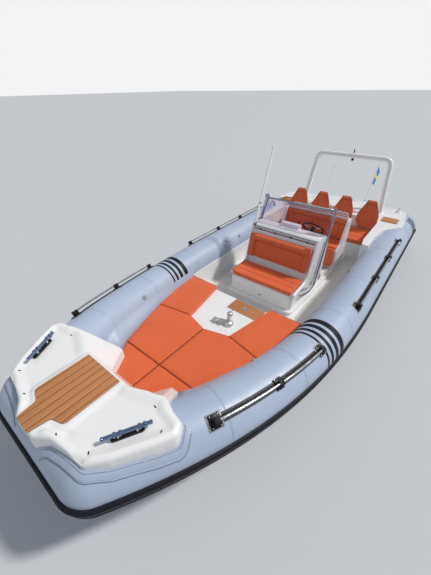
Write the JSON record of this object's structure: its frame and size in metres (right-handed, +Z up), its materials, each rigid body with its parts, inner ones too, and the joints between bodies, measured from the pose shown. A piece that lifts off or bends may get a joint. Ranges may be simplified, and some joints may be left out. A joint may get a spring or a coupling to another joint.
{
  "type": "rigid inflatable boat",
  "caption": "Open rigid inflatable boat with an air tube collar, decked bow, console, padded seats, stern hoop and sterndrive.",
  "frame": {"origin": "on the waterline, on the centreline, amidships", "axes": "+X towards the bow, +Y to port, +Z up"},
  "size_m": [8.0869, 3.219, 3.2154],
  "materials": {
    "gelcoat": "gloss",
    "tube_fabric": "satin",
    "strake": "satin",
    "stainless": "polished",
    "teak": "oiled",
    "upholstery": "satin",
    "screen": "clear",
    "black_trim": "satin",
    "engine_paint": "satin",
    "white_paint": "gloss",
    "white_trim": "gloss",
    "drive_paint": "satin",
    "propeller": "satin",
    "rail_trim": "satin",
    "flag_cloth": "woven"
  },
  "bodies": {
    "hull": {"aft_back_1": "upholstery", "aft_back_2": "upholstery", "aft_back_3": "upholstery", "aft_back_4": "upholstery", "aft_bench_pad": "upholstery", "aft_deck": "gelcoat", "aft_teak": "teak", "anchor": "stainless", "bow_cleats": "stainless", "bow_deck": "gelcoat", "bow_locker": "gelcoat", "bow_pad_aft_port": "upholstery", "bow_pad_aft_starboard": "upholstery", "bow_pad_fore_port": "upholstery", "bow_pad_fore_starboard": "upholstery", "bow_pad_mid_port": "upholstery", "bow_pad_mid_starboard": "upholstery", "bow_teak": "teak", "console": "gelcoat", "console_back_pad": "upholstery", "console_seat_pad": "upholstery", "drive_mount": "drive_paint", "engine": "engine_paint", "ensign": "flag_cloth", "flag_staffs": "white_trim", "hand_rails": "rail_trim", "helm_apron_pad": "upholstery", "helm_back_pad": "upholstery", "helm_rail": "stainless", "helm_seat": "gelcoat", "helm_seat_pad": "upholstery", "hull": "gelcoat", "instrument_pod": "gelcoat", "light_pole": "white_trim", "pennant": "flag_cloth", "rub_strake": "strake", "screen_frame": "stainless", "sole_plinth": "gelcoat", "stern_eye_port": "stainless", "stern_eye_starboard": "stainless", "stern_hoop": "white_paint", "stern_lamp": "white_trim", "swim_platforms": "gelcoat", "throttle": "black_trim", "tow_eye": "stainless", "tube_bands": "strake", "tube_bow": "tube_fabric", "tube_end_caps": "strake", "tube_port": "tube_fabric", "tube_starboard": "tube_fabric", "wheel_column": "black_trim", "whip_aerial": "white_trim", "windscreen": "screen"},
    "helm_wheel": {"steering_wheel": "black_trim"},
    "drive_yoke": {"drive_yoke": "drive_paint"},
    "drive_leg": {"drive_leg": "drive_paint"},
    "propeller_fore": {"propeller_fore": "propeller"},
    "propeller_aft": {"propeller_aft": "propeller"},
    "engine_hatch": {"engine_hatch": "gelcoat"},
    "bow_locker_lid": {"bow_locker_lid": "teak"}
  },
  "joints": [
    {"name": "wheel_turn", "type": "hinge", "parent": "hull", "child": "helm_wheel", "pos_m": [-0.5, 0.29, 1.165], "axis": [-0.7071, 0, 0.7071], "range_deg": [-540, 540]},
    {"name": "drive_steer", "type": "hinge", "parent": "hull", "child": "drive_yoke", "pos_m": [-3.39, 0, 0], "axis": [0, 0, 1], "range_deg": [-27, 27]},
    {"name": "drive_trim", "type": "hinge", "parent": "drive_yoke", "child": "drive_leg", "pos_m": [-3.39, 0, 0.03], "axis": [0, 1, 0], "range_deg": [0, 45]},
    {"name": "propeller_fore_spin", "type": "hinge", "parent": "drive_leg", "child": "propeller_fore", "pos_m": [-3.76, 0, -0.5], "axis": [1, 0, 0], "continuous": true},
    {"name": "propeller_aft_spin", "type": "hinge", "parent": "drive_leg", "child": "propeller_aft", "pos_m": [-3.84, 0, -0.5], "axis": [1, 0, 0], "continuous": true},
    {"name": "engine_hatch_lift", "type": "hinge", "parent": "hull", "child": "engine_hatch", "pos_m": [-2.4, 0, 0.9053], "axis": [0, 1, 0], "range_deg": [0, 60]},
    {"name": "bow_locker_lift", "type": "hinge", "parent": "hull", "child": "bow_locker_lid", "pos_m": [1.3968, 0.16, 0.4867], "axis": [0, 1, 0], "range_deg": [0, 95]}
  ],
  "couplings": [
    {"joint": "wheel_turn", "follows": "drive_steer", "ratio": 20},
    {"joint": "propeller_aft_spin", "follows": "propeller_fore_spin", "ratio": -1}
  ]
}
